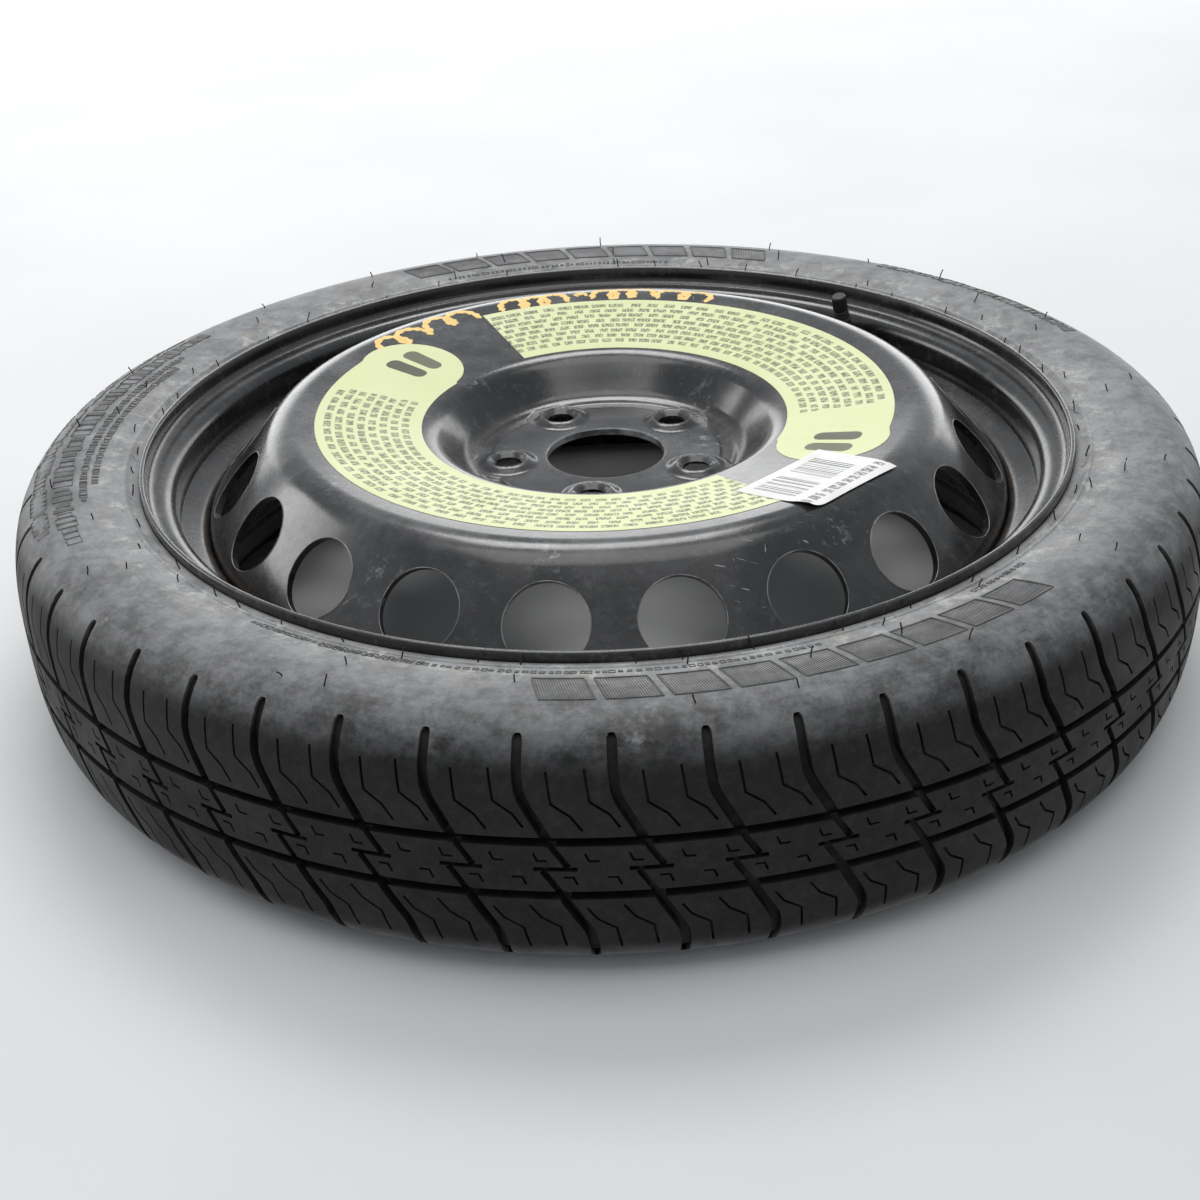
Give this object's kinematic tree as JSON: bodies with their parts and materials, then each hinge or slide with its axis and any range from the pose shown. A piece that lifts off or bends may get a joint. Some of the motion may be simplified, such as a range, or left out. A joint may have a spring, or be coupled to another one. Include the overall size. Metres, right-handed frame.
{
  "type": "space saver spare wheel",
  "caption": "Narrow temporary spare wheel: a pressed steel disc with round vents welded in a black rim, a slim grooved tyre, a snap-in valve and plain yellow-green vinyl bands.",
  "frame": {"origin": "on the wheel's axis, at the floor that the tyre's inner side lies on", "axes": "+Z along the wheel's axis towards its outer side; +X and +Y across the wheel, with the picture's viewpoint on the -Y side"},
  "size_m": [0.6608, 0.6608, 0.1433],
  "materials": {
    "tyre": "dusty black rubber, paler on the sidewall",
    "rim_paint": "satin black paint, dirt in the gutter",
    "disc_paint": "satin black paint with fine scratches",
    "weld": "painted weld bead",
    "valve_rubber": "matt black rubber",
    "stem_brass": "machined brass",
    "core_brass": "machined brass",
    "gasket_rubber": "soft red seal",
    "pin_brass": "drawn brass wire",
    "cup_rubber": "matt rubber",
    "spring_steel": "spring wire",
    "cap_plastic": "matt black plastic",
    "seal_rubber": "soft rubber disc",
    "band_vinyl": "satin yellow-green vinyl with plain grey bars",
    "sticker_paper": "white paper with plain black bars"
  },
  "bodies": {
    "wheel": {"tyre": "tyre", "rim": "rim_paint", "disc": "disc_paint", "weld_beads": "weld", "valve_body": "valve_rubber", "valve_stem": "stem_brass", "core_plug": "core_brass", "core_gasket": "gasket_rubber", "vinyl_bands": "band_vinyl", "paper_sticker": "sticker_paper"},
    "pin": {"core_pin": "pin_brass", "core_cup": "cup_rubber", "core_spring": "spring_steel"},
    "cap_carrier": {"cap_seal": "seal_rubber"},
    "cap": {"valve_cap": "cap_plastic"}
  },
  "joints": [
    {"name": "pin_press", "type": "slide", "parent": "wheel", "child": "pin", "axis": [-0.1765, -0.1893, 0.9659], "range_m": [-0.0011, 0], "stiffness_N_per_m": 1500, "springref_m": 0.002},
    {"name": "cap_lift", "type": "slide", "parent": "wheel", "child": "cap_carrier", "axis": [-0.1765, -0.1893, 0.9659], "range_m": [0, 0.0048]},
    {"name": "cap_turn", "type": "hinge", "parent": "cap_carrier", "child": "cap", "pos_m": [0.15959, 0.17114, 0.09651], "axis": [-0.1765, -0.1893, 0.9659], "range_deg": [0, 2200]}
  ],
  "couplings": [
    {"joint": "cap_turn", "follows": "cap_lift", "rad_per_m": 7913.5}
  ]
}
